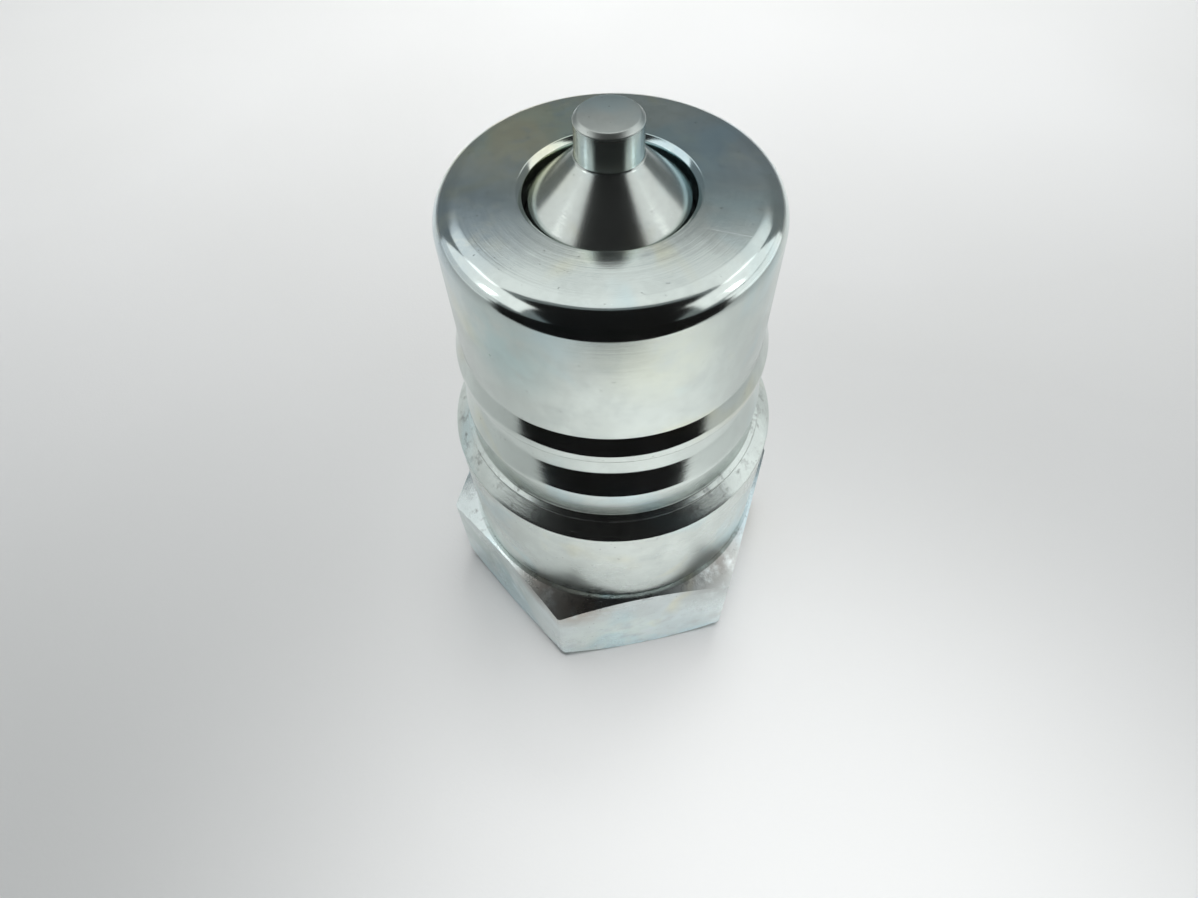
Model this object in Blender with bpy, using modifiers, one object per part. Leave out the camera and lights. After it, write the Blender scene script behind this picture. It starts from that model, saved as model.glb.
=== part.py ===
"""Male half of a hydraulic quick disconnect coupler, with a poppet valve, standing on its hex end.

Metres, +Z up. The axis of every turned piece is the Z axis, and the hex end's bottom face is at z = 0.
The poppet slides down into the nose, against its spring, when the other half is joined to it.
"""

import math

import bmesh
import bpy
from mathutils import Matrix, Vector

MM = 0.001
STEPS = 48
RING_STEPS = 32
TOUCH_GAP = 0.3 * MM
RUNNING_GAP = 0.25 * MM

# Hex end with the pipe thread for the hose fitting.
HEX_ACROSS_FLATS = 38.0 * MM
HEX_HEIGHT = 16.1 * MM
HEX_FACE_MARGIN = 0.25 * MM
HEX_TOP_CHAMFER = math.radians(30)
HEX_BOTTOM_CHAMFER = math.radians(36)
PORT_RADIUS = 12.06 * MM
PORT_ENTRY = 1.3 * MM
PORT_FLOOR = 1.2 * MM

# Threaded spigot that joins the hex end to the nose body.
THREAD_LENGTH = 6.9 * MM
THREAD_RELIEF = 0.6 * MM
PILOT_LENGTH = 6.0 * MM
THREAD_STEP = 1.1 * MM
SPIGOT_WALL = 2.6 * MM
SEAL_GROOVE_PLAY = 0.9 * MM
SEAL_GROOVE_LAND = 0.8 * MM
SEAL_SECTION_RADIUS = 0.95 * MM
BACKUP_THICKNESS = 1.2 * MM

# Outside of the nose body, from the collar at the hex end to the flat face.
NOSE_RADIUS = 15.75 * MM
NOSE_LENGTH = 15.7 * MM
LIP_ROUNDING = 2.4 * MM
LAND_RISE = 0.7 * MM
LAND_RAMP = 2.0 * MM
LAND_LENGTH = 1.0 * MM
GROOVE_DEPTH = 0.9 * MM
UNDERCUT_LENGTH = 0.9 * MM
GROOVE_LENGTH = 2.25 * MM
FLANK_LENGTH = 3.15 * MM
BODY_RISE = 0.85 * MM
BODY_LENGTH = 3.8 * MM
BODY_TAPER = 0.1 * MM
COLLAR_RISE = 2.0 * MM
COLLAR_FACE_FALL = 2.15 * MM
COLLAR_LENGTH = 15.15 * MM
COLLAR_TAPER = 0.2 * MM
COLLAR_EDGE = 0.35 * MM

# Inside of the nose body.
NOSE_WALL = 3.45 * MM
COLLAR_WALL = 3.0 * MM
BORE_RADIUS = 7.7 * MM
BORE_LENGTH = 2.5 * MM
MOUTH_CHAMFER = 0.45 * MM
GUIDE_SHOULDER = 1.3 * MM

# Valve guide and the ring that holds it.
GUIDE_THICKNESS = 1.9 * MM
GUIDE_HUB_RADIUS = 4.4 * MM
GUIDE_HUB_LENGTH = 5.6 * MM
GUIDE_HOLE_COUNT = 6
GUIDE_HOLE_RADIUS = 2.6 * MM
CLIP_THICKNESS = 1.0 * MM
CLIP_BITE = 0.7 * MM
CLIP_WIDTH = 2.0 * MM
CLIP_OPENING = 7.0 * MM

# Poppet valve.
PIN_RADIUS = 2.95 * MM
PIN_RISE = 6.9 * MM
PIN_CHAMFER = 0.35 * MM
RIM_GAP = 0.45 * MM
RIM_DROP = 0.95 * MM
HEAD_OVERLAP = 0.7 * MM
HEAD_SPIGOT_RADIUS = 5.6 * MM
STEM_RADIUS = 2.5 * MM
STEM_OVERRUN = 1.3 * MM
POPPET_SEAL_THICKNESS = 1.8 * MM
POPPET_SEAL_LIP = 1.9 * MM
SEAL_PASSAGE = 2.0 * MM
RETAINER_THICKNESS = 1.6 * MM
RETAINER_PILOT_LENGTH = 1.0 * MM

# Valve spring.
SPRING_WIRE = 1.7 * MM
SPRING_EDGE = 0.35 * MM
SPRING_PILOT_GAP = 0.65 * MM
SPRING_TURNS = 6
SPRING_POINTS_PER_TURN = 16

# Heights that the lengths above add up to.
JOINT_Z = HEX_HEIGHT + TOUCH_GAP
COLLAR_TOP_Z = JOINT_Z + COLLAR_LENGTH
BODY_BOTTOM_Z = COLLAR_TOP_Z + COLLAR_FACE_FALL
BODY_TOP_Z = BODY_BOTTOM_Z + BODY_LENGTH
GROOVE_BOTTOM_Z = BODY_TOP_Z + FLANK_LENGTH
GROOVE_TOP_Z = GROOVE_BOTTOM_Z + GROOVE_LENGTH
LAND_BOTTOM_Z = GROOVE_TOP_Z + UNDERCUT_LENGTH
LAND_TOP_Z = LAND_BOTTOM_Z + LAND_LENGTH
NOSE_BOTTOM_Z = LAND_TOP_Z + LAND_RAMP
FACE_Z = NOSE_BOTTOM_Z + NOSE_LENGTH
SEAT_TOP_Z = FACE_Z - BORE_LENGTH

# Radii that follow from the nose and the walls.
LAND_RADIUS = NOSE_RADIUS + LAND_RISE
GROOVE_RADIUS = LAND_RADIUS - GROOVE_DEPTH
BODY_RADIUS = NOSE_RADIUS + BODY_RISE
COLLAR_RADIUS = BODY_RADIUS + COLLAR_RISE
CHAMBER_RADIUS = NOSE_RADIUS - NOSE_WALL
THREAD_BORE = COLLAR_RADIUS - COLLAR_WALL
PILOT_BORE = THREAD_BORE - THREAD_STEP
GUIDE_BORE = PILOT_BORE - GUIDE_SHOULDER
SEAL_GROOVE_RADIUS = PILOT_BORE - 2 * (SEAL_SECTION_RADIUS + RUNNING_GAP)
SEAL_GROOVE_WIDTH = BACKUP_THICKNESS + 2 * SEAL_SECTION_RADIUS + SEAL_GROOVE_PLAY
FLOW_RADIUS = SEAL_GROOVE_RADIUS - SPIGOT_WALL
PORT_TOP_Z = HEX_HEIGHT - PORT_FLOOR

# Levels inside the nose body, from the joint upwards.
THREAD_TOP_Z = JOINT_Z + THREAD_LENGTH
SPIGOT_TOP_Z = THREAD_TOP_Z + PILOT_LENGTH - TOUCH_GAP
PILOT_TOP_Z = THREAD_TOP_Z + PILOT_LENGTH
CLIP_BOTTOM_Z = PILOT_TOP_Z + 2 * TOUCH_GAP
GUIDE_BOTTOM_Z = CLIP_BOTTOM_Z + CLIP_THICKNESS + TOUCH_GAP
GUIDE_TOP_Z = GUIDE_BOTTOM_Z + GUIDE_THICKNESS
GUIDE_SEAT_Z = GUIDE_TOP_Z + TOUCH_GAP
SEAL_GROOVE_TOP_Z = SPIGOT_TOP_Z - SEAL_GROOVE_LAND

# Levels of the poppet, from its cone downwards. Its sealing cone runs beside the 45 degree valve seat.
# The seal's lip and the passage round it divide the ring between head and chamber in proportion.
RIM_RADIUS = BORE_RADIUS - RIM_GAP
RIM_TOP_Z = FACE_Z - RIM_DROP
PIN_TOP_Z = FACE_Z + PIN_RISE
CONE_GAP = TOUCH_GAP * math.sqrt(2)
RIM_BOTTOM_Z = SEAT_TOP_Z + RIM_GAP - CONE_GAP
HEAD_RADIUS = BORE_RADIUS + HEAD_OVERLAP
HEAD_EDGE_Z = RIM_BOTTOM_Z - (HEAD_RADIUS - RIM_RADIUS)
HEAD_BACK_Z = HEAD_EDGE_Z - 2 * TOUCH_GAP
SEAL_TOP_Z = HEAD_BACK_Z - TOUCH_GAP
SEAL_BOTTOM_Z = SEAL_TOP_Z - POPPET_SEAL_THICKNESS
SEAL_LIP_RADIUS = BORE_RADIUS + SEAT_TOP_Z - SEAL_TOP_Z - CONE_GAP
SEAL_SHARE = POPPET_SEAL_LIP / (POPPET_SEAL_LIP + SEAL_PASSAGE)
SEAL_OUTER_RADIUS = HEAD_RADIUS + (CHAMBER_RADIUS - HEAD_RADIUS) * SEAL_SHARE
RETAINER_TOP_Z = SEAL_BOTTOM_Z - TOUCH_GAP
RETAINER_BOTTOM_Z = RETAINER_TOP_Z - RETAINER_THICKNESS
HEAD_SPIGOT_Z = RETAINER_BOTTOM_Z - RETAINER_PILOT_LENGTH - TOUCH_GAP
HUB_BOTTOM_Z = GUIDE_TOP_Z - GUIDE_HUB_LENGTH
STEM_BOTTOM_Z = HUB_BOTTOM_Z - STEM_OVERRUN
SPRING_BOTTOM_Z = GUIDE_TOP_Z + TOUCH_GAP
SPRING_TOP_Z = RETAINER_BOTTOM_Z - TOUCH_GAP
SPRING_RADIUS = SEAL_OUTER_RADIUS - SPRING_EDGE - SPRING_WIRE / 2
RETAINER_PILOT_RADIUS = SPRING_RADIUS - SPRING_WIRE / 2 - SPRING_PILOT_GAP


def clear_scene():
    for obj in list(bpy.data.objects):
        bpy.data.objects.remove(obj, do_unlink=True)


def new_collection(name):
    collection = bpy.data.collections.new(name)
    bpy.context.scene.collection.children.link(collection)
    return collection


def new_material(name, colour, roughness, metallic):
    material = bpy.data.materials.new(name)
    material.use_nodes = True
    shader = material.node_tree.nodes["Principled BSDF"]
    shader.inputs["Base Color"].default_value = (*colour, 1.0)
    shader.inputs["Roughness"].default_value = roughness
    shader.inputs["Metallic"].default_value = metallic
    return material


def add_object(name, mesh, collection, material=None):
    obj = bpy.data.objects.new(name, mesh)
    collection.objects.link(obj)
    if material:
        mesh.materials.append(material)
    return obj


def make_cutter(obj):
    obj.hide_render = True
    obj.display_type = "WIRE"
    return obj


def turned(name, profile, collection, material=None, closed=True, steps=STEPS):
    """A turned piece: (radius, height) points, down the outer side first, swept round the Z axis.

    A closed profile makes a ring. An open one starts and ends on the axis and makes a solid piece.
    """
    mesh = bpy.data.meshes.new(name)
    points = [(radius, 0.0, height) for radius, height in profile]
    edges = [(i, i + 1) for i in range(len(points) - 1)]
    if closed:
        edges.append((len(points) - 1, 0))
    mesh.from_pydata(points, edges, [])
    obj = add_object(name, mesh, collection, material)
    screw = obj.modifiers.new("Turn", "SCREW")
    screw.axis = "Z"
    screw.steps = steps
    screw.render_steps = steps
    screw.use_merge_vertices = True
    screw.merge_threshold = 0.00001
    screw.use_smooth_shade = True
    return obj


def boolean(obj, operation, other):
    modifier = obj.modifiers.new(other.name, "BOOLEAN")
    modifier.operation = operation
    modifier.object = other
    modifier.solver = "EXACT"


def quarter_round(centre, radius, steps):
    """Points of a rounding that turns a flat top face into an outer wall."""
    angles = [math.pi / 2 * i / steps for i in range(steps + 1)]
    return [
        (centre[0] + radius * math.sin(a), centre[1] + radius * math.cos(a))
        for a in angles
    ]


def make_nose_body(parts, material):
    lip = quarter_round((NOSE_RADIUS - LIP_ROUNDING, FACE_Z - LIP_ROUNDING), LIP_ROUNDING, 6)
    collar_bottom = COLLAR_RADIUS - COLLAR_TAPER
    outside = [
        (BORE_RADIUS + MOUTH_CHAMFER, FACE_Z),
        *lip,
        (NOSE_RADIUS, NOSE_BOTTOM_Z),
        (LAND_RADIUS, LAND_TOP_Z),
        (LAND_RADIUS, LAND_BOTTOM_Z),
        (GROOVE_RADIUS, GROOVE_TOP_Z),
        (GROOVE_RADIUS, GROOVE_BOTTOM_Z),
        (BODY_RADIUS, BODY_TOP_Z),
        (BODY_RADIUS - BODY_TAPER, BODY_BOTTOM_Z),
        (COLLAR_RADIUS - COLLAR_EDGE, COLLAR_TOP_Z + COLLAR_EDGE),
        (COLLAR_RADIUS, COLLAR_TOP_Z),
        (collar_bottom, JOINT_Z + COLLAR_EDGE),
        (collar_bottom - COLLAR_EDGE, JOINT_Z),
    ]
    clip_radius = GUIDE_BORE + CLIP_BITE
    clip_top = CLIP_BOTTOM_Z + CLIP_THICKNESS + TOUCH_GAP / 2
    clip_bottom = CLIP_BOTTOM_Z - TOUCH_GAP
    inside = [
        (THREAD_BORE + COLLAR_EDGE, JOINT_Z),
        (THREAD_BORE, JOINT_Z + COLLAR_EDGE),
        (THREAD_BORE, THREAD_TOP_Z),
        (PILOT_BORE, THREAD_TOP_Z + THREAD_RELIEF),
        (PILOT_BORE, PILOT_TOP_Z),
        (GUIDE_BORE, PILOT_TOP_Z),
        (GUIDE_BORE, clip_bottom),
        (clip_radius, clip_bottom),
        (clip_radius, clip_top),
        (GUIDE_BORE, clip_top),
        (GUIDE_BORE, GUIDE_SEAT_Z),
        (CHAMBER_RADIUS, GUIDE_SEAT_Z),
        (CHAMBER_RADIUS, SEAT_TOP_Z - (CHAMBER_RADIUS - BORE_RADIUS)),
        (BORE_RADIUS, SEAT_TOP_Z),
        (BORE_RADIUS, FACE_Z - MOUTH_CHAMFER),
    ]
    return turned("nose_body", outside + inside, parts, material)


def hex_prism(name, collection, material):
    """Hexagonal bar with two of its flats square to the Y axis."""
    mesh = bpy.data.meshes.new(name)
    bm = bmesh.new()
    corner_radius = HEX_ACROSS_FLATS / math.sqrt(3)
    bmesh.ops.create_cone(
        bm,
        cap_ends=True,
        segments=6,
        radius1=corner_radius,
        radius2=corner_radius,
        depth=HEX_HEIGHT,
        matrix=Matrix.Translation((0, 0, HEX_HEIGHT / 2)) @ Matrix.Rotation(math.radians(30), 4, "Z"),
    )
    bm.to_mesh(mesh)
    bm.free()
    return add_object(name, mesh, collection, material)


def make_hex_adapter(parts, cutters, material):
    adapter = hex_prism("hex_adapter", parts, material)
    face_radius = HEX_ACROSS_FLATS / 2 - HEX_FACE_MARGIN
    reach = HEX_ACROSS_FLATS / math.sqrt(3) - face_radius + 1 * MM
    top_fall = reach * math.tan(HEX_TOP_CHAMFER)
    bottom_rise = reach * math.tan(HEX_BOTTOM_CHAMFER)
    envelope = [
        (0, HEX_HEIGHT + MM),
        (face_radius, HEX_HEIGHT + MM),
        (face_radius, HEX_HEIGHT),
        (face_radius + reach, HEX_HEIGHT - top_fall),
        (face_radius + reach, bottom_rise),
        (face_radius, 0),
        (face_radius, -MM),
        (0, -MM),
    ]
    chamfers = make_cutter(turned("hex_chamfers", envelope, cutters, closed=False))
    boolean(adapter, "INTERSECT", chamfers)

    thread_radius = THREAD_BORE - TOUCH_GAP
    pilot_radius = PILOT_BORE - TOUCH_GAP
    groove_bottom_z = SEAL_GROOVE_TOP_Z - SEAL_GROOVE_WIDTH
    spigot = [
        (0, SPIGOT_TOP_Z),
        (pilot_radius - TOUCH_GAP, SPIGOT_TOP_Z),
        (pilot_radius, SPIGOT_TOP_Z - TOUCH_GAP),
        (pilot_radius, SEAL_GROOVE_TOP_Z),
        (SEAL_GROOVE_RADIUS, SEAL_GROOVE_TOP_Z),
        (SEAL_GROOVE_RADIUS, groove_bottom_z),
        (pilot_radius, groove_bottom_z),
        (pilot_radius, THREAD_TOP_Z - TOUCH_GAP),
        (thread_radius, THREAD_TOP_Z - THREAD_RELIEF - TOUCH_GAP),
        (thread_radius, JOINT_Z + 2 * THREAD_RELIEF),
        (thread_radius - THREAD_RELIEF, JOINT_Z + THREAD_RELIEF),
        (thread_radius - THREAD_RELIEF, HEX_HEIGHT - PORT_FLOOR / 2),
        (0, HEX_HEIGHT - PORT_FLOOR / 2),
    ]
    boolean(adapter, "UNION", make_cutter(turned("spigot", spigot, cutters, closed=False)))

    port = [
        (0, SPIGOT_TOP_Z + MM),
        (FLOW_RADIUS, SPIGOT_TOP_Z + MM),
        (FLOW_RADIUS, PORT_TOP_Z),
        (PORT_RADIUS, PORT_TOP_Z),
        (PORT_RADIUS, PORT_ENTRY),
        (PORT_RADIUS + PORT_ENTRY, 0),
        (PORT_RADIUS + PORT_ENTRY, -MM),
        (0, -MM),
    ]
    boolean(adapter, "DIFFERENCE", make_cutter(turned("port", port, cutters, closed=False)))
    return adapter


def ring_profile(inner, outer, bottom, top):
    return [(inner, top), (outer, top), (outer, bottom), (inner, bottom)]


def o_ring(name, centre_radius, section_radius, height, collection, material):
    bpy.ops.mesh.primitive_torus_add(
        major_segments=RING_STEPS,
        minor_segments=10,
        major_radius=centre_radius,
        minor_radius=section_radius,
        location=(0, 0, height),
    )
    ring = bpy.context.active_object
    ring.name = name
    ring.data.name = name
    for owner in list(ring.users_collection):
        owner.objects.unlink(ring)
    collection.objects.link(ring)
    ring.data.materials.append(material)
    ring.data.shade_smooth()
    return ring


def make_body_seals(parts, rubber, plastic):
    """The O-ring between the two body halves, and the backup ring under it."""
    backup_bottom = SEAL_GROOVE_TOP_Z - SEAL_GROOVE_WIDTH + TOUCH_GAP
    backup_top = backup_bottom + BACKUP_THICKNESS
    backup = ring_profile(
        SEAL_GROOVE_RADIUS + TOUCH_GAP, PILOT_BORE - TOUCH_GAP, backup_bottom, backup_top
    )
    turned("backup_ring", backup, parts, plastic, steps=RING_STEPS)
    centre_radius = (SEAL_GROOVE_RADIUS + PILOT_BORE) / 2
    height = backup_top + TOUCH_GAP + SEAL_SECTION_RADIUS
    o_ring("body_seal", centre_radius, SEAL_SECTION_RADIUS, height, parts, rubber)


def make_valve_guide(parts, cutters, material):
    outer = GUIDE_BORE - TOUCH_GAP
    profile = [
        (STEM_RADIUS + RUNNING_GAP, GUIDE_TOP_Z),
        (outer, GUIDE_TOP_Z),
        (outer, GUIDE_BOTTOM_Z),
        (GUIDE_HUB_RADIUS, GUIDE_BOTTOM_Z),
        (GUIDE_HUB_RADIUS, HUB_BOTTOM_Z),
        (STEM_RADIUS + RUNNING_GAP, HUB_BOTTOM_Z),
    ]
    guide = turned("valve_guide", profile, parts, material, steps=RING_STEPS)
    mesh = bpy.data.meshes.new("guide_holes")
    bm = bmesh.new()
    clip_inner = GUIDE_BORE + CLIP_BITE - TOUCH_GAP - CLIP_WIDTH
    circle_radius = (GUIDE_HUB_RADIUS + clip_inner) / 2
    for i in range(GUIDE_HOLE_COUNT):
        angle = 2 * math.pi * i / GUIDE_HOLE_COUNT
        place = Vector((circle_radius * math.cos(angle), circle_radius * math.sin(angle), 0))
        place.z = (GUIDE_BOTTOM_Z + GUIDE_TOP_Z) / 2
        bmesh.ops.create_cone(
            bm,
            cap_ends=True,
            segments=16,
            radius1=GUIDE_HOLE_RADIUS,
            radius2=GUIDE_HOLE_RADIUS,
            depth=3 * GUIDE_THICKNESS,
            matrix=Matrix.Translation(place),
        )
    bm.to_mesh(mesh)
    bm.free()
    boolean(guide, "DIFFERENCE", make_cutter(add_object("guide_holes", mesh, cutters)))
    return guide


def make_guide_clip(parts, cutters, material):
    """The open spring ring that holds the guide in the nose body."""
    outer = GUIDE_BORE + CLIP_BITE - TOUCH_GAP
    profile = ring_profile(outer - CLIP_WIDTH, outer, CLIP_BOTTOM_Z, CLIP_BOTTOM_Z + CLIP_THICKNESS)
    clip = turned("guide_clip", profile, parts, material, steps=RING_STEPS)
    mesh = bpy.data.meshes.new("clip_opening")
    bm = bmesh.new()
    size = Matrix.Diagonal((2 * CLIP_WIDTH + MM, CLIP_OPENING, 4 * CLIP_THICKNESS, 1))
    place = Matrix.Translation((outer - CLIP_WIDTH / 2, 0, CLIP_BOTTOM_Z))
    bmesh.ops.create_cube(bm, size=1, matrix=place @ size)
    bm.to_mesh(mesh)
    bm.free()
    boolean(clip, "DIFFERENCE", make_cutter(add_object("clip_opening", mesh, cutters)))
    return clip


def make_poppet(parts, material):
    profile = [
        (0, PIN_TOP_Z),
        (PIN_RADIUS - PIN_CHAMFER, PIN_TOP_Z),
        (PIN_RADIUS, PIN_TOP_Z - PIN_CHAMFER),
        (PIN_RADIUS, RIM_TOP_Z + RIM_RADIUS - PIN_RADIUS),
        (RIM_RADIUS, RIM_TOP_Z),
        (RIM_RADIUS, RIM_BOTTOM_Z),
        (HEAD_RADIUS, HEAD_EDGE_Z),
        (HEAD_RADIUS, HEAD_BACK_Z),
        (HEAD_SPIGOT_RADIUS, HEAD_BACK_Z),
        (HEAD_SPIGOT_RADIUS, HEAD_SPIGOT_Z),
        (STEM_RADIUS, HEAD_SPIGOT_Z - (HEAD_SPIGOT_RADIUS - STEM_RADIUS) / 3),
        (STEM_RADIUS, STEM_BOTTOM_Z + PIN_CHAMFER),
        (STEM_RADIUS - PIN_CHAMFER, STEM_BOTTOM_Z),
        (0, STEM_BOTTOM_Z),
    ]
    return turned("poppet", profile, parts, material, closed=False)


def make_poppet_seal(parts, material):
    inner = HEAD_SPIGOT_RADIUS + TOUCH_GAP
    slope = SEAL_OUTER_RADIUS - SEAL_LIP_RADIUS
    profile = [
        (inner, SEAL_TOP_Z),
        (SEAL_LIP_RADIUS, SEAL_TOP_Z),
        (SEAL_OUTER_RADIUS, SEAL_TOP_Z - slope),
        (SEAL_OUTER_RADIUS, SEAL_BOTTOM_Z),
        (inner, SEAL_BOTTOM_Z),
    ]
    return turned("poppet_seal", profile, parts, material, steps=RING_STEPS)


def make_seal_retainer(parts, material):
    """The washer behind the poppet seal, with a pilot that centres the spring."""
    inner = HEAD_SPIGOT_RADIUS + TOUCH_GAP
    profile = [
        (inner, RETAINER_TOP_Z),
        (SEAL_OUTER_RADIUS, RETAINER_TOP_Z),
        (SEAL_OUTER_RADIUS, RETAINER_BOTTOM_Z),
        (RETAINER_PILOT_RADIUS, RETAINER_BOTTOM_Z),
        (RETAINER_PILOT_RADIUS, RETAINER_BOTTOM_Z - RETAINER_PILOT_LENGTH),
        (inner, RETAINER_BOTTOM_Z - RETAINER_PILOT_LENGTH),
    ]
    return turned("seal_retainer", profile, parts, material, steps=RING_STEPS)


def spring_height(turn):
    """Height of the wire's centre after this many turns: nearly flat end coils and even ones between."""
    bottom = SPRING_BOTTOM_Z + SPRING_WIRE / 2
    top = SPRING_TOP_Z - SPRING_WIRE / 2
    end_rise = SPRING_WIRE + TOUCH_GAP
    if turn < 1:
        return bottom + end_rise * turn
    if turn > SPRING_TURNS - 1:
        return top - end_rise * (SPRING_TURNS - turn)
    share = (turn - 1) / (SPRING_TURNS - 2)
    return bottom + end_rise + (top - bottom - 2 * end_rise) * share


def make_valve_spring(parts, material):
    curve = bpy.data.curves.new("valve_spring", "CURVE")
    curve.dimensions = "3D"
    curve.bevel_depth = SPRING_WIRE / 2
    curve.bevel_resolution = 2
    curve.use_fill_caps = True
    count = SPRING_TURNS * SPRING_POINTS_PER_TURN + 1
    spline = curve.splines.new("POLY")
    spline.points.add(count - 1)
    for i in range(count):
        turn = i / SPRING_POINTS_PER_TURN
        angle = 2 * math.pi * turn
        x, y = SPRING_RADIUS * math.cos(angle), SPRING_RADIUS * math.sin(angle)
        spline.points[i].co = (x, y, spring_height(turn), 1)
    spline.use_smooth = True
    spring = bpy.data.objects.new("valve_spring", curve)
    parts.objects.link(spring)
    curve.materials.append(material)
    return spring


def main():
    clear_scene()
    parts = new_collection("quick_disconnect_coupler")
    cutters = new_collection("cutters")
    plated = new_material("zinc_plated_steel", (0.72, 0.74, 0.76), 0.22, 1.0)
    hexed = new_material("zinc_plated_hex", (0.70, 0.74, 0.75), 0.32, 1.0)
    bright = new_material("bright_steel", (0.66, 0.66, 0.64), 0.25, 1.0)
    pressed = new_material("pressed_steel", (0.55, 0.55, 0.56), 0.4, 1.0)
    sprung = new_material("spring_steel", (0.35, 0.36, 0.38), 0.3, 1.0)
    rubber = new_material("black_nitrile", (0.03, 0.03, 0.03), 0.6, 0.0)
    plastic = new_material("white_ptfe", (0.85, 0.85, 0.82), 0.5, 0.0)

    make_nose_body(parts, plated)
    make_hex_adapter(parts, cutters, hexed)
    make_body_seals(parts, rubber, plastic)
    make_valve_guide(parts, cutters, pressed)
    make_guide_clip(parts, cutters, sprung)
    make_valve_spring(parts, sprung)

    poppet = make_poppet(parts, bright)
    poppet_seal = make_poppet_seal(parts, rubber)
    seal_retainer = make_seal_retainer(parts, pressed)
    for piece in (poppet_seal, seal_retainer):
        piece.parent = poppet


if __name__ == "__main__":
    main()
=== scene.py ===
"""Looks of the male half of a hydraulic quick disconnect coupler, laid out as an add-on.

Every piece is in metres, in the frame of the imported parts: the axis is Z and the hex end stands on z = 0.
"""

import math

import bmesh
import bpy
from bpy.props import FloatProperty, FloatVectorProperty, IntProperty, PointerProperty
from mathutils import Matrix, Vector


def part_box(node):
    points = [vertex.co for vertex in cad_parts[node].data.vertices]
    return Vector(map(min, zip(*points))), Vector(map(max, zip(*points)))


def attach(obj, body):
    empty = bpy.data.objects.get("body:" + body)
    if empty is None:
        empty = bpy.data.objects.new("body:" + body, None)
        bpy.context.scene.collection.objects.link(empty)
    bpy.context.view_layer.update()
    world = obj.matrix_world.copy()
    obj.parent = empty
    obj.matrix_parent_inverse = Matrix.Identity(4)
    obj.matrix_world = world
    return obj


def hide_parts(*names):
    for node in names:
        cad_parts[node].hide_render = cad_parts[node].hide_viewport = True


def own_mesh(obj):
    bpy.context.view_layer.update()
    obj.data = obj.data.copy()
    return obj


bl_info = {
    "name": "Quick disconnect coupler",
    "version": (1, 0, 0),
    "blender": (4, 5, 0),
    "location": "View3D > Sidebar > Coupler",
    "description": "Builds the finished pieces of a hydraulic coupler half around its packed parts",
    "category": "Object",
}

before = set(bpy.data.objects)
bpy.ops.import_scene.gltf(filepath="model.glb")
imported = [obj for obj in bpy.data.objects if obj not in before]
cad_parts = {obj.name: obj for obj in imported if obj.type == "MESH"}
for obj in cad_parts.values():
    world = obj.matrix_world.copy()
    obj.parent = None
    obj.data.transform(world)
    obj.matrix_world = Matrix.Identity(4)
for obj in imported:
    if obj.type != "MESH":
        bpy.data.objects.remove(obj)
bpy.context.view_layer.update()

MM = 0.001
GAP = 0.3 * MM  # between pieces that touch in the real part
SEAT_GAP = GAP * math.sqrt(2)  # the same across the 45 degree valve seat
EDGE = 0.06 * MM  # rounding of a machined edge
NOSE_LOW, NOSE_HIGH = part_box("nose_body")
HEX_LOW, HEX_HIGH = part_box("hex_adapter")
POPPET_LOW, POPPET_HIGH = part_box("poppet")
SEAL_LOW, SEAL_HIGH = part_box("body_seal")
BACKUP_LOW, BACKUP_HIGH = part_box("backup_ring")
GUIDE_LOW, GUIDE_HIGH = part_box("valve_guide")
CLIP_LOW, CLIP_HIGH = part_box("guide_clip")
SPRING_LOW, SPRING_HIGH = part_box("valve_spring")
RUBBER_LOW, RUBBER_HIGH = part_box("poppet_seal")
RETAINER_LOW, RETAINER_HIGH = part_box("seal_retainer")


def length(name, default, description):
    """A length that can be changed in the sidebar."""
    return FloatProperty(
        name=name,
        description=description,
        default=default,
        min=0,
        precision=5,
        subtype="DISTANCE",
        unit="LENGTH",
    )


def angle(name, degrees, description):
    """An angle that can be changed in the sidebar."""
    return FloatProperty(
        name=name,
        description=description,
        default=math.radians(degrees),
        precision=3,
        subtype="ANGLE",
        unit="ROTATION",
    )


def colour(name, default, description):
    """A colour that can be changed in the sidebar."""
    return FloatVectorProperty(
        name=name, description=description, default=default, size=3, min=0, max=1, subtype="COLOR"
    )


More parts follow.
